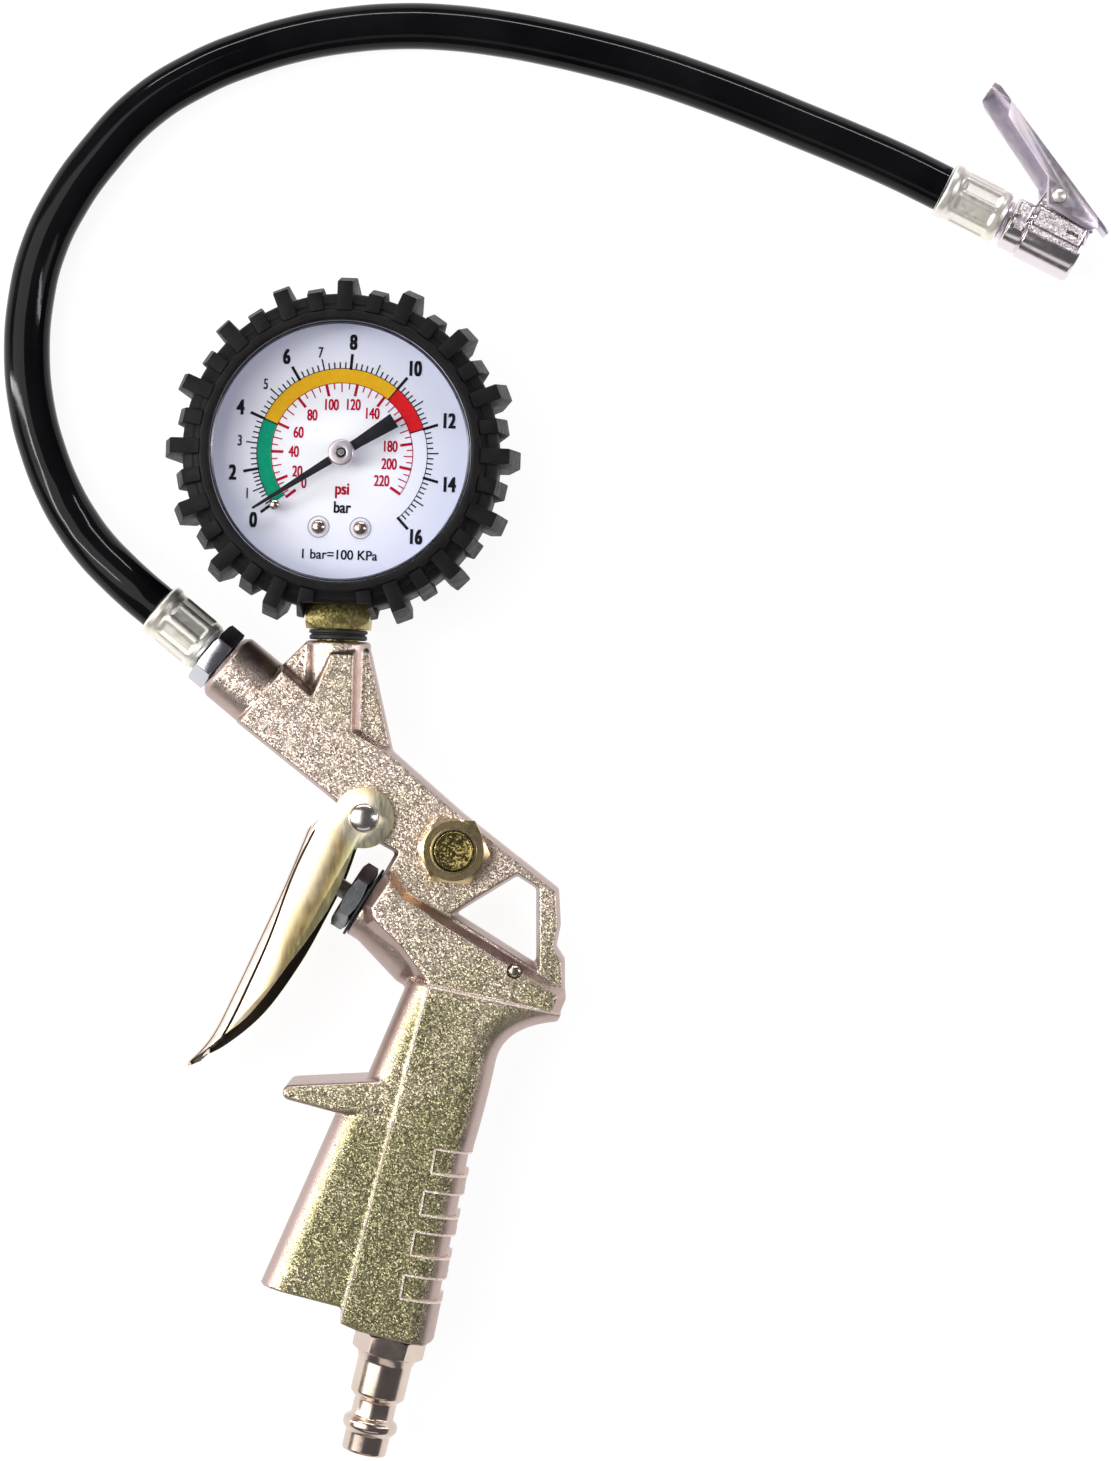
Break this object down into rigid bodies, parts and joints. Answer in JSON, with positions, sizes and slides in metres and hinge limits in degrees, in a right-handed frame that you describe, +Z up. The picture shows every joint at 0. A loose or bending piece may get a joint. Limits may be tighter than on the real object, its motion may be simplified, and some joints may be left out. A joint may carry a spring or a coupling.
{
  "type": "tyre inflator with gauge",
  "caption": "Die-cast pistol-grip tyre inflator with a squeeze trigger, press-to-deflate valve, dial gauge in a rubber boot, short hose and clip-on valve chuck.",
  "frame": {"origin": "on the surface that the tool lies on, under the centre of the gun's box (the casting, gauge, trigger and inlet plug, without the hose and what is on it)", "axes": "+Z up from the surface, square to the gun's plane; +Y along the gun from the inlet plug towards the gauge; +X from the trigger side towards the back of the grip"},
  "size_m": [0.2469, 0.3243, 0.0325],
  "materials": {
    "casting": "plated die casting with a fine sparkle grain, champagne tint",
    "trigger_zinc": "pressed steel, yellow zinc plated",
    "dark_steel": "dark zinc-nickel plate",
    "nickel": "bright nickel plate",
    "brass": "machined, tarnished",
    "spring_steel": "drawn wire",
    "rubber": "matte moulded rubber, charcoal",
    "seal_rubber": "matte nitrile",
    "hose": "glossy black hose cover",
    "black_paint": "semi-gloss black",
    "dial_white": "printed dial, white ground",
    "lens": "clear polycarbonate"
  },
  "bodies": {
    "gun": {"gun_body": "casting", "airway_plug": "nickel", "trigger_pin": "nickel", "gland_nut": "dark_steel", "gland_washer": "seal_rubber", "rod_seal": "seal_rubber", "valve_seat": "brass", "valve_spring": "spring_steel", "bleed_nut": "brass", "bleed_spring": "spring_steel", "inlet_plug": "nickel", "gauge_socket": "brass", "gauge_seal": "seal_rubber", "gauge_case": "dark_steel", "gauge_boot": "rubber", "lens_ring": "nickel", "gauge_lens": "lens", "bourdon_tube": "brass", "tube_end_cap": "brass", "movement_back_plate": "brass", "movement_front_plate": "brass", "movement_pillar_1": "brass", "movement_pillar_2": "brass", "hairspring": "spring_steel", "gauge_dial": "dial_white", "dial_screw_1": "nickel", "dial_screw_2": "nickel", "pointer_stop": "nickel", "hose_fitting": "nickel", "hose_ferrule_gun": "nickel", "hose": "hose", "hose_ferrule_chuck": "nickel", "chuck_nipple": "nickel", "chuck_body": "nickel", "chuck_seal": "seal_rubber", "chuck_core_pin": "brass", "chuck_lever_pin": "nickel", "chuck_spring": "spring_steel"},
    "trigger": {"trigger_lever": "trigger_zinc"},
    "valve_stem": {"push_rod": "nickel", "valve_disc": "seal_rubber"},
    "bleed": {"bleed_button": "brass", "bleed_seal": "seal_rubber"},
    "pointer": {"gauge_pointer": "black_paint", "pointer_hub": "nickel", "pinion_shaft": "spring_steel"},
    "sector": {"sector_gear": "brass"},
    "link": {"movement_link": "brass"},
    "clip_lever": {"chuck_lever": "nickel"},
    "clip_jaw": {"chuck_jaw": "brass"}
  },
  "joints": [
    {"name": "trigger_pull", "type": "hinge", "parent": "gun", "child": "trigger", "pos_m": [0.0001, 0.0117, 0.0125], "axis": [0, 0, 1], "range_deg": [0, 13], "stiffness_Nm_per_rad": 1.4, "springref_deg": -5.73},
    {"name": "rod_push", "type": "slide", "parent": "gun", "child": "valve_stem", "axis": [0.848, -0.5299, 0], "range_m": [0, 0.0036], "deforming": ["valve_spring"]},
    {"name": "bleed_press", "type": "slide", "parent": "gun", "child": "bleed", "axis": [0, 0, -1], "range_m": [0, 0.0015], "stiffness_N_per_m": 1500, "springref_m": -0.002, "deforming": ["bleed_spring"]},
    {"name": "pointer_turn", "type": "hinge", "parent": "gun", "child": "pointer", "pos_m": [-0.00457, 0.09168, 0.0345], "axis": [0, 0, -1], "range_deg": [0, 262], "stiffness_Nm_per_rad": 0.0002, "springref_deg": -28.65, "deforming": ["hairspring"]},
    {"name": "sector_turn", "type": "hinge", "parent": "gun", "child": "sector", "pos_m": [-0.00513, 0.07554, 0.0138], "axis": [0, 0, 1], "range_deg": [0, 37.5]},
    {"name": "link_swing", "type": "hinge", "parent": "sector", "child": "link", "pos_m": [0.00286, 0.07526, 0.012], "axis": [0, 0, 1], "range_deg": [-37.5, 0]},
    {"name": "chuck_lever_press", "type": "hinge", "parent": "gun", "child": "clip_lever", "pos_m": [0.15438, 0.14993, 0.0066], "axis": [0, 0, 1], "range_deg": [0, 20], "stiffness_Nm_per_rad": 0.25, "springref_deg": -11.46, "deforming": ["chuck_spring"]},
    {"name": "jaw_lift", "type": "slide", "parent": "gun", "child": "clip_jaw", "axis": [0.454, 0.891, 0], "range_m": [0, 0.0031]}
  ],
  "couplings": [
    {"joint": "rod_push", "follows": "trigger_pull", "m_per_rad": 0.0153},
    {"joint": "sector_turn", "follows": "pointer_turn", "ratio": 0.14286},
    {"joint": "link_swing", "follows": "pointer_turn", "ratio": -0.14286},
    {"joint": "jaw_lift", "follows": "chuck_lever_press", "m_per_rad": 0.0084}
  ]
}
